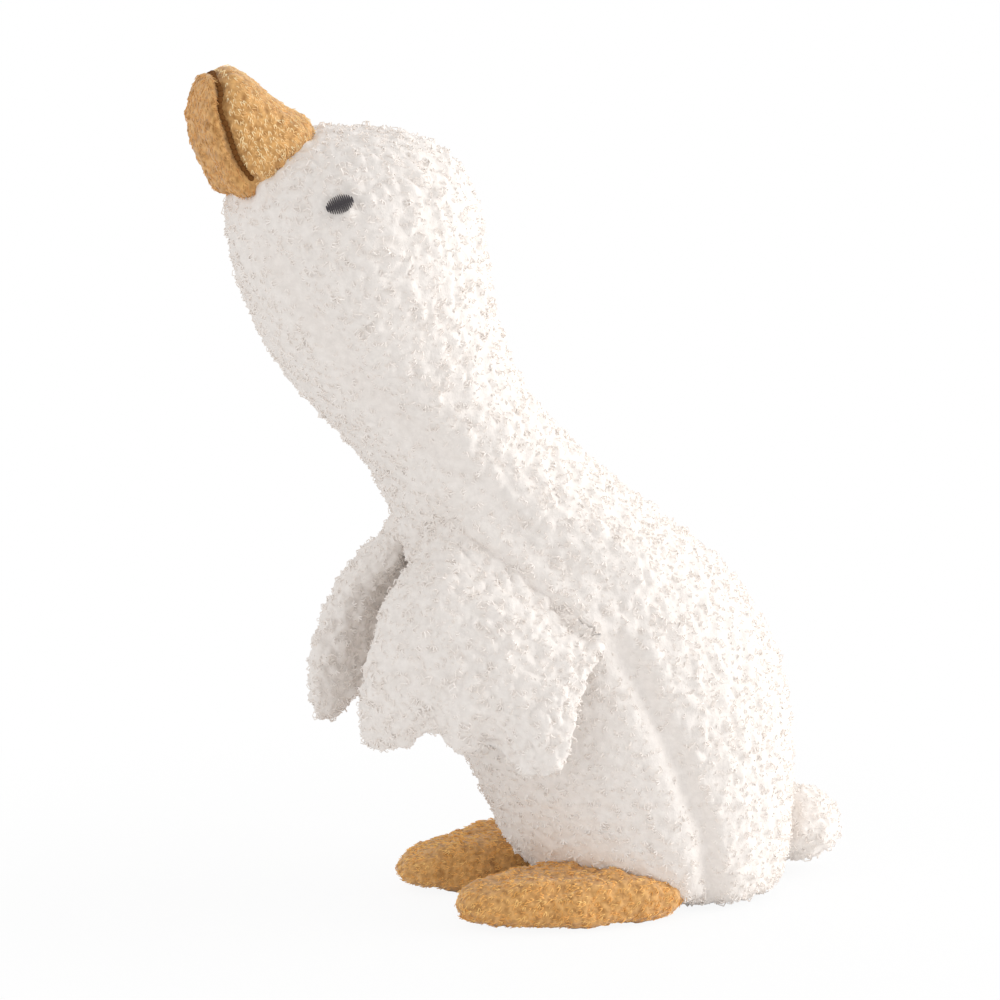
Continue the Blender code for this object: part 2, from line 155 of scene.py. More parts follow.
def lift(bag, heights):
    """Moves each point of a bag out by its own height."""
    put_points(bag, points_of(bag) + normals_of(bag) * np.asarray(heights)[:, None])


def keep_above(piece, height):
    """Presses flat what would reach below a height over the ground."""
    places = points_of(piece)
    places[:, 2] = np.maximum(places[:, 2], height)
    put_points(piece, places)


def lumps(places, size, seed):
    """Rounded lumps of one size with creases between them, from about -0.4 to 1."""
    return 2.2 * np.abs(noise_field(places, size, seed)) - 0.4


def lumpy(places, sizes, seed):
    """The heights of lumps of several sizes laid over each other."""
    return sum(
        lumps(places, width * MM, seed + k) * height * MM
        for k, (width, height) in enumerate(sizes)
    )


class Wire:
    """An output of a material's node, on which plain arithmetic can be written."""

    def __init__(self, tree, socket=None):
        self.tree = tree
        self.socket = socket

    def node(self, kind, settings=None, values=None, out=0):
        """Adds a node: first its settings, then a value or a link for each socket."""
        made = self.tree.nodes.new("ShaderNode" + kind)
        for key, value in (settings or {}).items():
            if key == "stops":
                stops = made.color_ramp.elements
                while len(stops) < len(value):
                    stops.new(0.5)
                for stop, (place, colour) in zip(stops, value):
                    stop.position = place
                    stop.color = (*colour, 1)
            else:
                setattr(made, key, value)
        for key, value in (values or {}).items():
            if isinstance(value, Wire):
                self.tree.links.new(value.socket, made.inputs[key])
            else:
                made.inputs[key].default_value = value
        return Wire(self.tree, made.outputs[out])

    def maths(self, operation, one, other):
        return self.node("Math", {"operation": operation}, {0: one, 1: other})

    def __add__(self, other):
        return self.maths("ADD", self, other)

    def __radd__(self, other):
        return self.maths("ADD", other, self)

    def __mul__(self, other):
        return self.maths("MULTIPLY", self, other)

    def __rmul__(self, other):
        return self.maths("MULTIPLY", other, self)


def new_finish(name, roughness, sheen, colour):
    """A plain cloth material, and the wire that its pattern starts from."""
    made = bpy.data.materials.new(name)
    made.use_nodes = True
    shader = made.node_tree.nodes["Principled BSDF"]
    shader.inputs["Base Color"].default_value = (*colour, 1)
    shader.inputs["Roughness"].default_value = roughness
    shader.inputs["Specular IOR Level"].default_value = 0.2
    shader.inputs["Sheen Weight"].default_value = sheen
    shader.inputs["Sheen Roughness"].default_value = 0.6
    return made, shader, Wire(made.node_tree)


def join(wire, shader, socket):
    wire.tree.links.new(wire.socket, shader.inputs[socket])


def white_backing():
    """The knitted ground of the pile, seen between the curls, with painted shade: its colour
    darkens where its bump dips.
    """
    made, shader, start = new_finish("white_backing", roughness=0.95, sheen=0.1, colour=WHITE)
    place = start.node("TexCoord", out="Object")
    tufts = start.node("TexNoise", {}, {"Vector": place, "Scale": 420.0, "Detail": 3.0})
    fibre = start.node("TexNoise", {}, {"Vector": place, "Scale": 1800.0, "Detail": 2.0})
    # painted shade: the colour follows the bump's own noise, darker in the hollows between the
    # curls
    tone = start.node(
        "ValToRGB",
        {"stops": ((0.3, (0.84, 0.79, 0.75)), (0.75, (0.93, 0.88, 0.84)))},
        {"Fac": tufts},
    )
    join(tone, shader, "Base Color")
    height = tufts * 0.7 + fibre * 0.3
    bump = start.node("Bump", {}, {"Height": height, "Strength": 0.5, "Distance": 0.001})
    join(bump, shader, "Normal")
    return made


def white_yarn(name, colour):
    return new_finish(name, roughness=0.85, sheen=0.3, colour=colour)[0]


def yarn(length, width, curl, lean, turn):
    """One tapered yarn of pile that leans and curls over."""
    bpy.ops.object.select_all(action="DESELECT")
    bpy.ops.mesh.primitive_cone_add(
        vertices=3, radius1=width / 2, radius2=width / 6, depth=length, location=(0, 0, length / 2)
    )
    made = bpy.context.active_object
    bpy.ops.object.transform_apply(location=True)
    bpy.ops.object.mode_set(mode="EDIT")
    for share in (0.4, 0.75):
        bpy.ops.mesh.select_all(action="SELECT")
        bpy.ops.mesh.bisect(plane_co=(0, 0, length * share), plane_no=(0, 0, 1))
    bpy.ops.object.mode_set(mode="OBJECT")
    bend = length / curl
    for vert in made.data.vertices:
        angle = vert.co.z / bend
        across = bend * (1 - math.cos(angle)) + vert.co.x * math.cos(angle)
        vert.co.z = bend * math.sin(angle) - vert.co.x * math.sin(angle)
        vert.co.x = across
    aim = Matrix.Rotation(turn, 4, "Z") @ Matrix.Rotation(lean, 4, "Y")
    made.data.transform(aim)
    return made


def joined(pieces):
    """Several pieces made one, which is left selected."""
    bpy.ops.object.select_all(action="DESELECT")
    for piece in pieces:
        piece.select_set(True)
    bpy.context.view_layer.objects.active = pieces[0]
    bpy.ops.object.join()
    return pieces[0]


def tuft(name, sizes, finish, root=0.5 * MM):
    """A tuft of a few yarns, with its root under the cloth."""
    bunch = joined([yarn(*size) for size in sizes])
    bunch.name = name
    bunch.data.transform(Matrix.Translation((0, 0, -root)))
    bunch.data.materials.clear()
    bunch.data.materials.append(finish)
    return bunch


def sow(name, cloth, tufts, spacing, seed, keep="pile", stray=0.45, comb=None):
    """Plants tufts over a cloth, evenly spaced, each turned and leaned its own way."""
    bed = bpy.data.collections.new(name + "_tufts")
    bpy.context.scene.collection.children.link(bed)
    for bunch in tufts:
        bed.objects.link(bunch)
    group = bpy.data.node_groups.new(name, "GeometryNodeTree")
    group.interface.new_socket("Geometry", in_out="INPUT", socket_type="NodeSocketGeometry")
    group.interface.new_socket("Geometry", in_out="OUTPUT", socket_type="NodeSocketGeometry")

    def add(kind, settings=None, values=None):
        made = group.nodes.new(kind)
        for key, value in (settings or {}).items():
            setattr(made, key, value)
        for key, value in (values or {}).items():
            if isinstance(value, bpy.types.NodeSocket):
                group.links.new(value, made.inputs[key])
            else:
                made.inputs[key].default_value = value
        return made

    ground = add("NodeGroupInput")
    density = add("GeometryNodeInputNamedAttribute", {"data_type": "FLOAT"}, {"Name": keep})
    spots = add(
        "GeometryNodeDistributePointsOnFaces",
        {"distribute_method": "POISSON"},
        {
            "Mesh": ground.outputs[0],
            "Distance Min": spacing,
            "Density Max": 4 / spacing**2,
            "Density Factor": density.outputs["Attribute"],
            "Seed": seed,
        },
    )
    standing = spots.outputs["Rotation"]
    spin = 2 * math.pi
    if comb:
        combed = add(
            "FunctionNodeAlignRotationToVector",
            {"axis": "X", "pivot_axis": "Z"},
            {"Rotation": standing, "Vector": comb},
        )
        standing = combed.outputs[0]
        spin = COMBED_SPIN
    lean = add(
        "FunctionNodeRandomValue",
        {"data_type": "FLOAT_VECTOR"},
        {0: (-stray, -stray, -spin / 2), 1: (stray, stray, spin / 2), "Seed": seed + 1},
    )
    leaned = add("FunctionNodeEulerToRotation", {}, {0: lean.outputs[0]})
    turned = add(
        "FunctionNodeRotateRotation",
        {"rotation_space": "LOCAL"},
        {0: standing, 1: leaned.outputs[0]},
    )
    size = add(
        "FunctionNodeRandomValue",
        {"data_type": "FLOAT"},
        {2: TUFT_SMALLEST, 3: TUFT_LARGEST, "Seed": seed + 2},
    )
    pick = add(
        "FunctionNodeRandomValue",
        {"data_type": "INT"},
        {4: 0, 5: len(tufts) - 1, "Seed": seed + 3},
    )
    kinds = add(
        "GeometryNodeCollectionInfo",
        {},
        {"Collection": bed, "Separate Children": True, "Reset Children": True},
    )
    planted = add(
        "GeometryNodeInstanceOnPoints",
        {},
        {
            "Points": spots.outputs["Points"],
            "Instance": kinds.outputs[0],
            "Pick Instance": True,
            "Instance Index": pick.outputs[2],
            "Rotation": turned.outputs[0],
            "Scale": size.outputs[1],
        },
    )
    real = add("GeometryNodeRealizeInstances", {}, {0: planted.outputs[0]})
    add("NodeGroupOutput", {}, {0: real.outputs[0]})
    pile = bpy.data.objects.new(name, cloth.data.copy())
    bpy.context.scene.collection.objects.link(pile)
    finish_modifier(pile, "NODES", node_group=group)
    bpy.data.collections.remove(bed)
    keep_above(pile, 0.1 * MM)
    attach(pile, "root")


def run_along(line):
    """How far a line has run at each of its points."""
    return np.concatenate(([0], np.cumsum(np.linalg.norm(np.diff(line, axis=0), axis=1))))


def seam_points(surface):
    """The gusset seam on both sides, a point each millimetre, on the skin."""
    rough = np.array(GUSSET_SEAM) * MM
    run = run_along(rough)
    found = []
    for along in np.arange(0, run[-1], 1 * MM):
        y, z = np.interp(along, run, rough[:, 0]), np.interp(along, run, rough[:, 1])
        hit = surface.ray_cast(Vector((0.2, y, z)), Vector((-1, 0, 0)))[0]
        if hit:
            found += [hit, Vector((-hit.x, hit.y, hit.z))]
    return found


def marks_along(knots, side):
    """Marks along a line given in millimetres, on the goose's left (1) or right (-1)."""
    knots = [Vector(knot) * MM for knot in knots]
    found = []
    for start, end in zip(knots, knots[1:]):
        steps = max(int((end - start).length / MARK_STEP), 1)
        found += [start.lerp(end, k / steps) for k in range(steps)]
    return [Vector((side * place.x, place.y, place.z)) for place in (*found, knots[-1])]


def gap_to(places, marks):
    """The distance from each place to the nearest mark."""
    tree = KDTree(len(marks))
    for k, mark in enumerate(marks):
        tree.insert(mark, k)
    tree.balance()
    return np.array([tree.find(place)[2] for place in places.tolist()])


def near(places, marks, width):
    """1 on the marks, falling to 0 a width or two away."""
    return np.exp(-((gap_to(places, marks) / width) ** 2))


def set_share(piece, name, shares):
    """Keeps a share for each vertex, which the sowing reads."""
    layer = piece.data.attributes.new(name, "FLOAT", "POINT")
    layer.data.foreach_set("value", np.asarray(shares, np.float32))


def middle_of(node):
    low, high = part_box(node)
    return (low + high) / 2


def dress(bag, node, finish):
    """Gives a finished bag its cloth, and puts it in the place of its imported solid."""
    bag.data.materials.append(finish)
    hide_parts(node)
    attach(bag, "root")


body = bag_from("body", "body_cloth", BODY_VOXEL, PILE_DEPTH + BODY_SLACK)
stuff(body, BODY_PRESSURE, BODY_CAP)
finish_modifier(body, "SUBSURF", levels=2, render_levels=2)
shape = BVHTree.FromObject(body, bpy.context.evaluated_depsgraph_get())
places = points_of(body)
eyes = [middle_of(node) for node in ("left_eye", "right_eye")]
line = np.array(GUSSET_SEAM) * MM
in_front = places[:, 1] < np.interp(places[:, 2], line[:, 1], line[:, 0])
at_seam = near(places, seam_points(shape), SEAM_WIDTH)
at_seam *= 1 - 0.9 * np.exp(-(((places[:, 2] / MM - COVERED_MIDDLE) / COVERED_HALF) ** 4))
at_eye = near(places, eyes, EYE_CALM)
rough = lumpy(places, BODY_LUMPS, 1)
rough *= (1 - at_eye) * (1 - SEAM_CALM * at_seam) * (1 - FRONT_CALM * in_front)
breast = [
    shape.ray_cast(Vector((0, -0.3, height * MM)), Vector((0, 1, 0)))[0]
    for height in BREAST_HEIGHTS
]
filled = 0
for marks, (width, height) in (
    (marks_along(WING_SEAM, 1) + marks_along(WING_SEAM, -1), SHOULDER_FILL),
    (marks_along(WING_TOP, 1) + marks_along(WING_TOP, -1), WING_TOP_FILL),
    (breast, BREAST_FILL),
):
    filled = np.maximum(filled, near(places, marks, width * MM) * height)
rough += filled * MM
rough += near(places, [eye + LID for eye in eyes], LID_WIDTH * MM) * LID_HEIGHT * MM
lift(body, rough - at_seam * SEAM_SINK)
keep_above(body, 0.3 * MM)
backing = white_backing()
dress(body, "body", backing)

# Pile of the body: wavy white yarns knitted into the backing, which curl over in small tufts.
# Each panel of cloth has its own sheets of it. The pile is clipped short round the eyes,
# along the seams, under the base and where the bill is sewn on.
PILE_SPACING = 2.1 * MM
YARN_WIDTH = 0.62 * MM
CURLED_YARNS = (  # the lengths, curls, leans and turns of the yarns in each kind of tuft
    ((5.4, 4.8, 4.4, 3.4), (4.6, 3.8, 4.4, 4.8), (0.1, 0.4, 0.3, 0.6), (0, 0.6, -0.7, 2.6)),
    ((5.0, 4.6, 3.8, 4.6), (3.8, 4.4, 5.0, 3.6), (0.2, 0.5, 0.4, 0.2), (0, 2.2, 4.1, 0.9)),
    ((4.8, 5.2, 4.2, 3.6), (4.8, 3.6, 4.0, 5.2), (0.3, 0.2, 0.6, 0.3), (0, 1.2, 3.0, 4.9)),
)
WHITES = {"bright": (0.95, 0.90, 0.86), "plain": WHITE, "soft": (0.89, 0.83, 0.78)}
EYE_BARED = Vector((0, -0.9 * MM, 0.9 * MM))  # the pile hangs over the lower rear of each eye
EYE_CROP = 3.1 * MM
SEAM_CROP = 0.75
BILL_CROP = 3.2 * MM
BASE_CROP = 1.5 * MM
NECK_HEIGHT = 105 * MM  # above it the sheets belong to the neck and the head


def yarns(lengths, curls, leans, turns, width=YARN_WIDTH):
    """The sizes of each yarn in a tuft."""
    return [
        (length * MM, width, curl, lean, turn)
        for length, curl, lean, turn in zip(lengths, curls, leans, turns)
    ]


tufts = [
    tuft("tuft_" + letter, yarns(*sizes), white_yarn("white_yarn_" + tone, colour))
    for letter, sizes, (tone, colour) in zip("abc", CURLED_YARNS, WHITES.items())
]
places = points_of(body)
crop = 1 - 0.95 * near(places, [eye + EYE_BARED for eye in eyes], EYE_CROP)
crop *= 1 - SEAM_CROP * at_seam
beak_points = [vert.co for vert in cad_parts["beak"].data.vertices]
crop *= (places[:, 2] > BASE_CROP) & (gap_to(places, beak_points) > BILL_CROP)
low, on_left = places[:, 2] < NECK_HEIGHT, places[:, 0] > 0
panels = {
    "neck_gusset_pile": in_front & ~low,
    "belly_gusset_pile": in_front & low,
    "left_neck_pile": ~in_front & on_left & ~low,
    "left_hip_pile": ~in_front & on_left & low,
    "right_neck_pile": ~in_front & ~on_left & ~low,
    "right_hip_pile": ~in_front & ~on_left & low,
}
for k, (name, inside) in enumerate(panels.items()):
    set_share(body, name, crop * inside)
    sow(name, body, tufts, PILE_SPACING, 11 + 7 * k, keep=name)

# Wings: two panels of the pile cloth over thin wadding, sewn shut along a scalloped hem
# and stitched to the shoulder along the top edge, where they flow out of the body.
WING_REAR_FOLD = ((33.5, 9, 116), (57, -22, 52))  # beside the rolled rear edge
WING_REAR_ROLL = ((33.5, 17, 116), (57, -15, 47))
WING_HOLLOW = ((33.5, -6, 104), (57, -28, 66))
WING_DENTS = ((WING_REAR_FOLD, 4, 2.0), (WING_HOLLOW, 11, 2.4))  # each with width and depth
ROLL_WIDTH, ROLL_HEIGHT = 6, 3.2
WING_LUMPS = ((5.5, 1.0), (3, 0.5))
SEWN_REACH = 38 * MM  # how far from its seam the wing lies on the body
SEWN_SINK, SEWN_WIDTH = 3.2 * MM, 13 * MM
FREE_FROM = 14 * MM


def skin_of(mesh):
    """The surface of a mesh, on which the nearest place can be found."""
    return BVHTree.FromPolygons(
        [vert.co for vert in mesh.vertices], [face.vertices for face in mesh.polygons]
    )


def settle(bag, marks, reach, stand_off):
    """Lays a bag down on the body where it is sewn on, and less further away."""
    places = points_of(bag)
    away = gap_to(places, marks)
    pull = np.clip((reach - away) / (reach * 0.6), 0, 1)
    pull = pull * pull * (3 - 2 * pull)
    kept = stand_off - SEWN_SINK * np.clip(1 - away / SEWN_WIDTH, 0, 1)
    for k, place in enumerate(places.tolist()):
        if pull[k] > 0.01:
            hit, way = shape.find_nearest(Vector(place))[:2]
            height = (Vector(place) - hit).dot(way)
            if height > kept[k]:
                places[k] -= np.array(way) * (height - kept[k]) * pull[k]
    put_points(bag, places)


def tuck(bag, depth, reach):
    """Pushes the sewn end of a bag through the skin of the body."""
    places = points_of(bag)
    for k, place in enumerate(places.tolist()):
        _, way, _, gap = packed_skin.find_nearest(Vector(place))
        if gap < reach:
            places[k] -= np.array(way) * depth * min(1, 2 * (1 - gap / reach))
    put_points(bag, places)


def seen_aside(marks):
    """Marks moved into the goose's middle plane, as they are seen from its side."""
    return [mark * Vector((0, 1, 1)) for mark in marks]


packed_skin = skin_of(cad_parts["body"].data)
for word, side in (("left", 1), ("right", -1)):
    node = word + "_wing"
    sewn = marks_along(WING_SEAM, side)
    wing = bag_from(node, node + "_cloth", voxel=3.2 * MM, shrink=1.2 * MM)
    stuff(wing, pressure=3.0, cap=1.8 * MM)
    finish_modifier(wing, "SUBSURF", levels=2, render_levels=2)
    tuck(wing, depth=3 * MM, reach=2.4 * MM)
    settle(wing, sewn, SEWN_REACH, stand_off=1.2 * MM)
    finish_modifier(wing, "SMOOTH", factor=0.5, iterations=18)
    places = points_of(wing)
    aside = places * (0, 1, 1)
    dent = 0
    for line, width, depth in WING_DENTS:
        marks = seen_aside(marks_along(line, side))
        dent = dent + near(aside, marks, width * MM) * depth * MM
    free = np.clip(gap_to(places, sewn) / FREE_FROM - 0.6, 0, 1)
    dent = dent * np.clip(normals_of(wing)[:, 0] * side * 2, 0, 1) * free
    roll = near(aside, seen_aside(marks_along(WING_REAR_ROLL, side)), ROLL_WIDTH * MM)
    dent = dent - roll * ROLL_HEIGHT * MM * free
    lift(wing, lumpy(places, WING_LUMPS, 3) - dent)
    dress(wing, node, backing)
    set_share(wing, "pile", np.ones(len(wing.data.vertices)))
    sow(node + "_pile", wing, tufts, PILE_SPACING, 41)

# Tail: a short stub of the same pile cloth, stuffed as the body is, with its open end
# turned in and sewn on low at the back.
TAIL_LUMPS = ((6.5, 0.9), (3.2, 0.45))
tail = bag_from("tail", "tail_cloth", voxel=3 * MM, shrink=1.2 * MM)
stuff(tail, pressure=3.0, cap=1.5 * MM)
finish_modifier(tail, "SUBSURF", levels=2, render_levels=2)
tuck(tail, depth=3 * MM, reach=2.4 * MM)
lift(tail, lumpy(points_of(tail), TAIL_LUMPS, 5))
dress(tail, "tail", backing)
set_share(tail, "pile", np.ones(len(tail.data.vertices)))
sow("tail_pile", tail, tufts, PILE_SPACING, 51)
for bunch in tufts:
    bpy.data.objects.remove(bunch)

# Bill: a small stuffed cone of short honey-coloured pile, combed towards the face, with
# the mouth drawn in by a row of brown stitches from cheek to cheek.
HONEY = (0.80, 0.45, 0.16)
BILL_ROOT_PLACE = Vector((0, -98.25 * MM, 239.5 * MM))
MOUTH_PITCH = math.radians(69)
BILL_FORWARD = (0, -math.cos(MOUTH_PITCH), math.sin(MOUTH_PITCH))
BILL_UP = (0, math.sin(MOUTH_PITCH), math.cos(MOUTH_PITCH))
MOUTH_REACH, MOUTH_HALF_WIDTH, MOUTH_BACK = 37.4 * MM, 15.2 * MM, 12 * MM
MOUTH_DROOP, MOUTH_LOW_POINT = 3.2 * MM, 15 * MM
MOUTH_ROUNDNESS = 0.8
MOUTH_WIDTH, MOUTH_SINK = 1.9 * MM, 2
BILL_LUMPS = ((4, 0.3),)
FLARE_WIDTH, FLARE_HEIGHT = 9 * MM, 1.8  # the bill widens where it is sewn to the face
NAP_SPACING = 0.82 * MM
NAP_WIDTH = 0.46 * MM
NAP_ROOT = 0.3 * MM
NAP_COMB = (0, 0.358, -0.934)
# The upper bill's yarns are lighter and the lower jaw's darker, on one cloth: painted light on top
# and painted shade below, as the key lamp falls from above.
PAINTED_LIT_NAP = ((1.0, 0.83, 0.51), (1.0, 0.77, 0.43), (0.95, 0.62, 0.28))
PAINTED_SHADED_NAP = ((0.82, 0.49, 0.20), (0.73, 0.39, 0.14), (0.52, 0.26, 0.08))


def honey_cloth():
    """The ground of the short pile, with painted shade: darker in the hollows of its bump, where
    the pile parts.
    """
    made, shader, start = new_finish("honey_cloth", roughness=0.9, sheen=0.3, colour=HONEY)
    place = start.node("TexCoord", out="Object")
    tufted = start.node("TexNoise", {}, {"Vector": place, "Scale": 480.0, "Detail": 3.0})
    # painted shade: the dark stop falls where the bump dips, in place of the shade in the gaps of
    # the nap
    tone = start.node(
        "ValToRGB",
        {"stops": ((0.3, (0.42, 0.20, 0.055)), (0.65, HONEY))},
        {"Fac": tufted},
    )
    join(tone, shader, "Base Color")
    bump = start.node("Bump", {}, {"Height": tufted, "Strength": 0.6, "Distance": 0.001})
    join(bump, shader, "Normal")
    return made


def honey_yarn(name, colour):
    made, shader, _ = new_finish(name, roughness=0.75, sheen=0.15, colour=colour)
    shader.inputs["Sheen Tint"].default_value = (1.0, 0.8, 0.5, 1)
    return made


def nap_tufts(mark, palette):
    """Three short tufts of honey pile, one in each colour."""
    sizes = (
        yarns((2.0, 1.7), (0.9, 0.7), (1.1, 1.2), (0, 0.5), NAP_WIDTH),
        yarns((2.1, 1.6), (1.1, 0.8), (1.0, 0.9), (0, -0.6), NAP_WIDTH),
        yarns((1.9, 2.0), (0.7, 1.2), (1.2, 1.1), (0, 0.9), NAP_WIDTH),
    )
    return [
        tuft(mark + str(k), size, honey_yarn(mark + "yarn_" + str(k), colour), NAP_ROOT)
        for k, (size, colour) in enumerate(zip(sizes, palette))
    ]


def droop(along):
    """How far the mouth line hangs down at a distance from the root of the bill."""
    return MOUTH_DROOP * (1 - (1 - along / MOUTH_LOW_POINT) ** 2)


def mouth_place(turn):
    """A point on the mouth line by its turn from the left cheek round the tip."""
    side = math.copysign(abs(math.cos(turn)) ** MOUTH_ROUNDNESS, math.cos(turn))
    end = math.copysign(abs(math.sin(turn)) ** MOUTH_ROUNDNESS, math.sin(turn))
    along = (MOUTH_REACH - MOUTH_BACK) / 2 + (MOUTH_REACH + MOUTH_BACK) / 2 * end
    place = BILL_ROOT_PLACE + Vector((MOUTH_HALF_WIDTH * side, 0, 0))
    return place + Vector(BILL_FORWARD) * along - Vector(BILL_UP) * droop(along)


mouth = [mouth_place(math.radians(turn)) for turn in range(-45, 226, 2)]
honey = honey_cloth()
painted_lit_tufts = nap_tufts("nap_light_", PAINTED_LIT_NAP)
painted_shaded_tufts = nap_tufts("nap_deep_", PAINTED_SHADED_NAP)
bill = bag_from("beak", "bill_cloth", voxel=1.5 * MM, shrink=0.9 * MM)
stuff(bill, pressure=2.0, cap=0.8 * MM)
finish_modifier(bill, "SUBSURF", levels=1, render_levels=1)
tuck(bill, depth=4 * MM, reach=3 * MM)
places = points_of(bill)
at_mouth = near(places, mouth, MOUTH_WIDTH)
from_face = np.array([packed_skin.find_nearest(place)[3] for place in places.tolist()])
flare = np.clip(1 - from_face / FLARE_WIDTH, 0, 1)
rough = lumpy(places, BILL_LUMPS, 7)
lift(bill, rough + flare * FLARE_HEIGHT * MM - at_mouth * MOUTH_SINK * MM)
dress(bill, "beak", honey)
from_root = places - np.array(BILL_ROOT_PLACE)
over = from_root @ np.array(BILL_UP) > -droop(from_root @ np.array(BILL_FORWARD))
# Painted light and shade: the upper bill is sown with the lit palette, the lower jaw with the
# shaded one.
for name, inside, bunches, seed in (
    ("upper_bill_pile", over, painted_lit_tufts, 61),
    ("lower_bill_pile", ~over, painted_shaded_tufts, 65),
):
    set_share(bill, name, inside & (at_mouth < 0.4))
    sow(
        name, bill, bunches, NAP_SPACING, seed,
        keep=name, stray=0.25, comb=NAP_COMB,
    )

# Feet: flat pads of the same short pile in a warmer shade, cut with webbed toes, lightly
# stuffed and sewn under the belly. The cloth creases along their outer sides.
FOOT_CREASE = ((41, -34, 12), (43, -22, 14), (42, -6, 14))  # along the left foot's outer side
CREASE_WIDTH, CREASE_DEPTH = 2.6, 2.5
FOOT_LUMPS = ((13, 1.3), (5, 0.5))
WARM_NAP = ((1.0, 0.66, 0.25), (1.0, 0.58, 0.19), (0.80, 0.43, 0.12))
FOOT_SPACING = 0.95 * MM
SOLE_CROP = 1.2 * MM
warm_tufts = nap_tufts("nap_warm_", WARM_NAP)
for word, side in (("left", 1), ("right", -1)):
    node = word + "_foot"
    foot = bag_from(node, node + "_cloth", voxel=2.4 * MM, shrink=1.0 * MM)
    stuff(foot, pressure=2.0, cap=1.2 * MM)
    finish_modifier(foot, "SUBSURF", levels=1, render_levels=1)
    tuck(foot, depth=3 * MM, reach=2.4 * MM)
    places = points_of(foot)
    crease = near(places, marks_along(FOOT_CREASE, side), CREASE_WIDTH * MM)
    lift(foot, lumpy(places, FOOT_LUMPS, 8) - crease * CREASE_DEPTH * MM)
    keep_above(foot, 0.2 * MM)
    dress(foot, node, honey)
    set_share(foot, "pile", points_of(foot)[:, 2] > SOLE_CROP)
    sow(
        node + "_pile", foot, warm_tufts, FOOT_SPACING, 71,
        stray=0.4, comb=(side * 0.3, -0.9, -0.3),
    )
for bunch in (*painted_lit_tufts, *painted_shaded_tufts, *warm_tufts):
    bpy.data.objects.remove(bunch)

# Mouth stitches: one brown thread sewn round the bill from cheek to cheek in short
# backstitches, and drawn so tight that it lies deep in the seam.
STITCH_PITCH = 1.9 * MM
STITCH_SIZE = (0.9 * MM, 0.9 * MM, 1.15 * MM, 1)
SMOOTHING = 25
FACE_GAP = 0.5 * MM  # the thread ends this far in front of the face
THREAD_HEIGHT = 0.25


def copy_of(pattern):
    """A copy of a modelled piece, with a mesh of its own."""
    made = bpy.data.objects.new(pattern.name, pattern.data.copy())
    bpy.context.scene.collection.objects.link(made)
    return made


brown, _, _ = new_finish("brown_thread", roughness=0.8, sheen=0.0, colour=(0.17, 0.065, 0.012))
bill_skin = skin_of(bill.data)
laid = []
for place in mouth:
    hit, way = bill_skin.find_nearest(place)[:2]
    face, out_of_face = packed_skin.find_nearest(hit)[:2]
    if (hit - face).dot(out_of_face) > FACE_GAP:
        laid.append(hit + way * THREAD_HEIGHT * MM)
line = np.array([place[:] for place in laid])
for _ in range(SMOOTHING):
    line[1:-1] = (line[:-2] + line[1:-1] * 2 + line[2:]) / 4
run = run_along(line)
knots = [
    Vector([np.interp(along, run, line[:, axis]) for axis in range(3)])
    for along in np.arange(0, run[-1], STITCH_PITCH)
]
bpy.ops.object.select_all(action="DESELECT")
bpy.ops.mesh.primitive_uv_sphere_add(segments=8, ring_count=6, radius=1)
plain_stitch = bpy.context.active_object
stitches = []
for start, end in zip(knots, knots[1:]):
    stitch = copy_of(plain_stitch)
    aim = (end - start).to_track_quat("Z", "Y").to_matrix().to_4x4()
    place = Matrix.Translation((start + end) / 2)
    stitch.data.transform(place @ aim @ Matrix.Diagonal(STITCH_SIZE))
    stitches.append(stitch)
bpy.data.objects.remove(plain_stitch)
thread = joined(stitches)
thread.name = "mouth_thread"
bpy.ops.object.shade_smooth()
thread.data.materials.append(brown)
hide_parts("mouth_stitching")
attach(thread, "root")

# Eyes: ovals of dark grey satin stitch, embroidered on the face over a little padding. Each
# thread is laid across the short way of the oval and overlaps the one beside it.
SATIN_PITCH = 0.6 * MM
SATIN_RADIUS = 0.34 * MM
SATIN_OVERLAP = 1.05
EYE_DOME, EYE_SINK = 1.1 * MM, 1.2 * MM
END_FALL, SIDE_FALL = 0.8, 0.9  # how far the dome falls towards the rim of the oval
STRAND_RINGS = (-0.85, -0.5, 0, 0.5, 0.85)

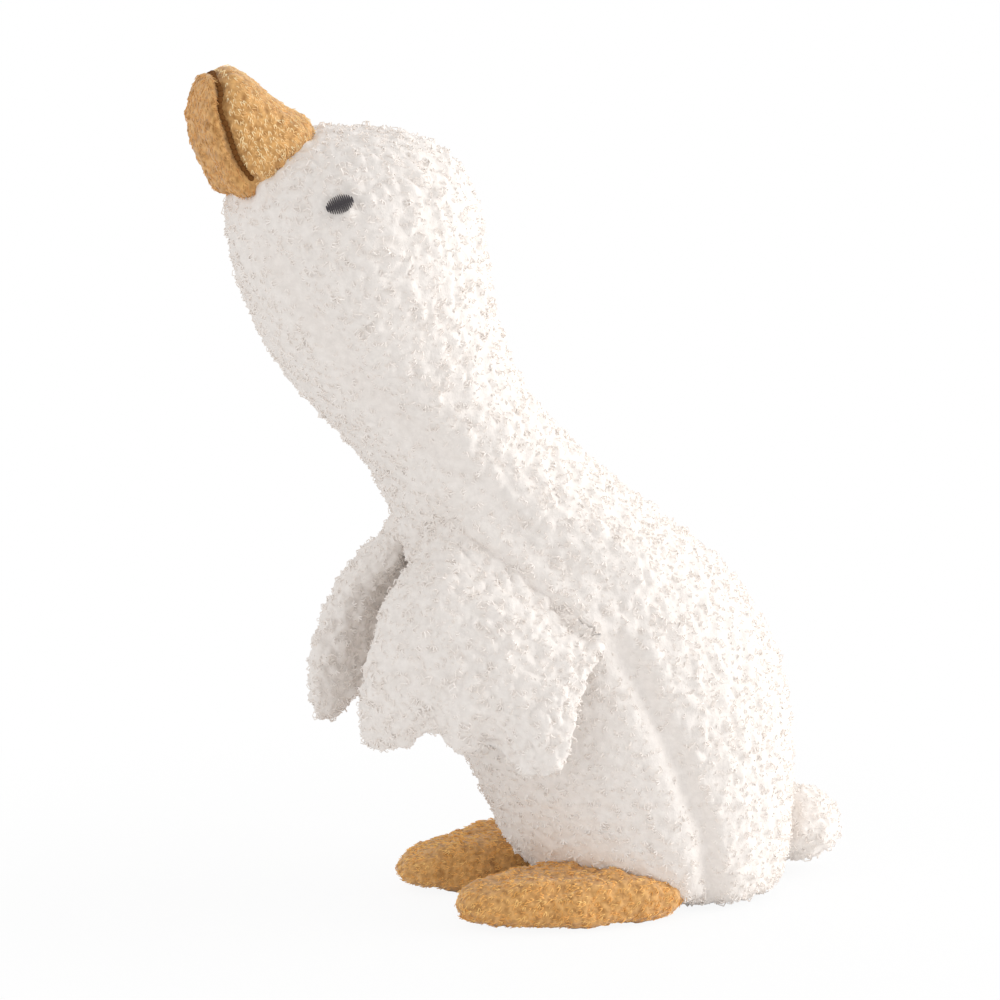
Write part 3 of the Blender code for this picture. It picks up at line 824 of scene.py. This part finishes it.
grey, _, _ = new_finish("grey_thread", roughness=0.45, sheen=0.3, colour=(0.05, 0.042, 0.048))
bpy.ops.object.select_all(action="DESELECT")
bpy.ops.mesh.primitive_cylinder_add(vertices=6, radius=1, depth=2, end_fill_type="TRIFAN")
plain_strand = bpy.context.active_object
bpy.ops.object.mode_set(mode="EDIT")
for level in STRAND_RINGS:
    bpy.ops.mesh.select_all(action="SELECT")
    bpy.ops.mesh.bisect(plane_co=(0, 0, level), plane_no=(0, 0, 1))
bpy.ops.object.mode_set(mode="OBJECT")
for node in ("left_eye", "right_eye"):
    places = np.array([vert.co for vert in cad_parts[node].data.vertices])
    centre = (places.min(axis=0) + places.max(axis=0)) / 2
    _, _, axes = np.linalg.svd(places - places.mean(axis=0), full_matrices=False)
    long_way, short_way, outward = (Vector(axis) for axis in axes)
    if outward.x * centre[0] < 0:
        outward = -outward
    half_long = np.abs((places - centre) @ np.array(long_way)).max()
    half_short = np.abs((places - centre) @ np.array(short_way)).max()
    threads = []
    count = int(2 * half_long / SATIN_PITCH)
    for k in range(count):
        across = (k + 0.5) / count * 2 - 1
        reach = half_short * math.sqrt(1 - across**2)
        strand = copy_of(plain_strand)
        for vert in strand.data.vertices:
            run = vert.co.z
            aslant = (run * reach / half_short) ** 2
            dome = EYE_DOME * math.sqrt(max(1 - across**2 * END_FALL - aslant * SIDE_FALL, 0))
            thick = SATIN_RADIUS * math.sqrt(max(1.1 - run**2, 0.1))
            vert.co = (
                Vector(centre)
                + long_way * (across * half_long + vert.co.x * thick * SATIN_OVERLAP)
                + short_way * (run * reach)
                + outward * (dome + vert.co.y * thick - EYE_SINK)
            )
        threads.append(strand)
    eye = joined(threads)
    eye.name = node + "_stitches"
    only(eye)
    bpy.ops.object.mode_set(mode="EDIT")
    bpy.ops.mesh.select_all(action="SELECT")
    bpy.ops.mesh.normals_make_consistent(inside=False)
    bpy.ops.object.mode_set(mode="OBJECT")
    bpy.ops.object.shade_smooth()
    eye.data.materials.append(grey)
    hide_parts(node)
    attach(eye, "root")
bpy.data.objects.remove(plain_strand)

# Studio: a white floor that shows only a soft shadow, an even white surround, a broad lamp
# to the right of the goose, a weak low one on the camera's left, and the camera where the
# photograph was taken from.
FLOOR_RADIUS = 12
FADE_FROM, FADE_TO = 0.12, 0.3  # how far out the floor turns into plain white
FLOOR_GLOW = 0.92  # how much of the floor beside the goose is plain white
SURROUND = 0.78  # the even light on the goose, where 1 is white
AZIMUTH, ELEVATION, DISTANCE = math.radians(67), math.radians(9), 1.3
TARGET = Vector((0, -0.0111, 0.1343))

bpy.ops.mesh.primitive_circle_add(vertices=96, radius=FLOOR_RADIUS, fill_type="NGON")
floor = bpy.context.active_object
floor.name = "floor"
ground = bpy.data.materials.new("floor_white")
ground.use_nodes = True
tree = ground.node_tree
paint = tree.nodes["Principled BSDF"]
paint.inputs["Base Color"].default_value = (0.9, 0.9, 0.9, 1)
paint.inputs["Roughness"].default_value = 1
paint.inputs["Specular IOR Level"].default_value = 0
start = Wire(tree)
ray = start.node("LightPath", out="Is Camera Ray")
place = start.node("TexCoord", out="Object")
away = start.node("VectorMath", {"operation": "LENGTH"}, {0: place}, out=1)
fade = start.node(
    "MapRange",
    {"interpolation_type": "SMOOTHSTEP"},
    {0: away, 1: FADE_FROM, 2: FADE_TO, 3: FLOOR_GLOW, 4: 1.0},
)
glow = start.node("Emission", {}, {"Color": (1, 1, 1, 1), "Strength": 1.0})
mixed = start.node("MixShader", {}, {0: ray * fade, 1: Wire(tree, paint.outputs[0]), 2: glow})
join(mixed, tree.nodes["Material Output"], "Surface")
floor.data.materials.append(ground)

world = bpy.data.worlds.new("studio")
bpy.context.scene.world = world
world.use_nodes = True
tree = world.node_tree
start = Wire(tree)
ray = start.node("LightPath", out="Is Camera Ray")
glossy = start.node("LightPath", out="Is Glossy Ray")
seen = start.maths("MAXIMUM", ray, glossy)
join(seen * (1 - SURROUND) + SURROUND, tree.nodes["Background"], "Strength")
tree.nodes["Background"].inputs["Color"].default_value = (1, 1, 1, 1)

ahead = Vector(
    (
        -math.sin(AZIMUTH) * math.cos(ELEVATION),
        math.cos(AZIMUTH) * math.cos(ELEVATION),
        -math.sin(ELEVATION),
    )
)
aside = ahead.cross(Vector((0, 0, 1))).normalized()
key_place = TARGET + aside * 1.2 + ahead * 0.08 + Vector((0, 0, 0.34))
fill_place = TARGET - aside * 0.8 - ahead * 0.9 + Vector((0, 0, 0.1))


def lamp(name, place, size, power, colour):
    """A square lamp that shines at the middle of the goose."""
    light = bpy.data.lights.new(name, "AREA")
    light.size = size
    light.energy = power
    light.color = colour
    made = bpy.data.objects.new(name, light)
    bpy.context.scene.collection.objects.link(made)
    made.location = place
    made.rotation_euler = (TARGET - place).to_track_quat("-Z", "Y").to_euler()


lamp("right_key", key_place, size=0.8, power=10.5, colour=(1, 0.985, 0.97))
lamp("low_fill", fill_place, size=1.0, power=1.6, colour=(1, 0.99, 0.98))

camera = bpy.data.cameras.new("camera")
camera.lens = 144
camera.sensor_width = 36
camera_stand = bpy.data.objects.new("camera", camera)
bpy.context.scene.collection.objects.link(camera_stand)
camera_stand.location = TARGET - ahead * DISTANCE
camera_stand.rotation_euler = ahead.to_track_quat("-Z", "Y").to_euler()
bpy.context.scene.camera = camera_stand
bpy.context.scene.view_settings.view_transform = "Standard"
